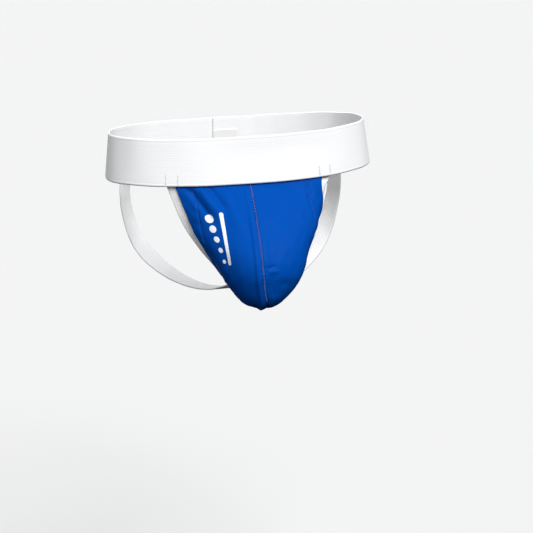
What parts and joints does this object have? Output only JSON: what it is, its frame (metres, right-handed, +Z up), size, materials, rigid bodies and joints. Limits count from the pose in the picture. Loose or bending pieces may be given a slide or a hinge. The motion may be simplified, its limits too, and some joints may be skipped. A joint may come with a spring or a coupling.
{
  "type": "groin protector",
  "caption": "Athletic supporter with a wide elastic waistband, a two-panel fabric pouch, leg straps and a rigid cup in a pocket.",
  "frame": {"origin": "centre of the waist loop, half way up the waistband at the front and back", "axes": "+Z up as worn, -Y to the front (the pouch), +X to the wearer's left"},
  "size_m": [0.2928, 0.2606, 0.1854],
  "materials": {
    "elastic_white": "knitted elastic, matt with a slight sheen",
    "tape_white": "woven elastic tape, matt",
    "satin_blue": "polyester satin, soft sheen",
    "mesh_white": "fine knitted mesh, matt",
    "cup_plastic": "moulded polypropylene, satin gloss",
    "cup_rim": "soft moulded rubber, matt",
    "thread_white": "sewing thread",
    "label_white": "woven satin label, blank"
  },
  "bodies": {
    "supporter": {"waistband": "elastic_white", "care_label": "label_white", "front_bartack_1": "thread_white", "front_bartack_2": "thread_white", "front_bartack_3": "thread_white", "front_bartack_4": "thread_white", "rear_bartack_1": "thread_white", "rear_bartack_2": "thread_white", "rear_bartack_3": "thread_white", "rear_bartack_4": "thread_white", "back_join_stitch_1": "thread_white", "back_join_stitch_2": "thread_white", "pouch_panel_left": "satin_blue", "pouch_panel_right": "satin_blue", "pouch_seam_tape": "tape_white", "leg_elastic_left": "tape_white", "leg_elastic_right": "tape_white", "pocket_lining": "mesh_white", "pocket_mouth_binding": "tape_white", "base_tab": "tape_white"},
    "cup": {"cup_shell": "cup_plastic", "cup_edge_pad": "cup_rim"}
  },
  "joints": [
    {"name": "cup_slide", "type": "slide", "parent": "supporter", "child": "cup", "axis": [0, 0.7431, 0.6691], "range_m": [0, 0.17], "deforming": ["pocket_lining", "pocket_mouth_binding"]}
  ]
}
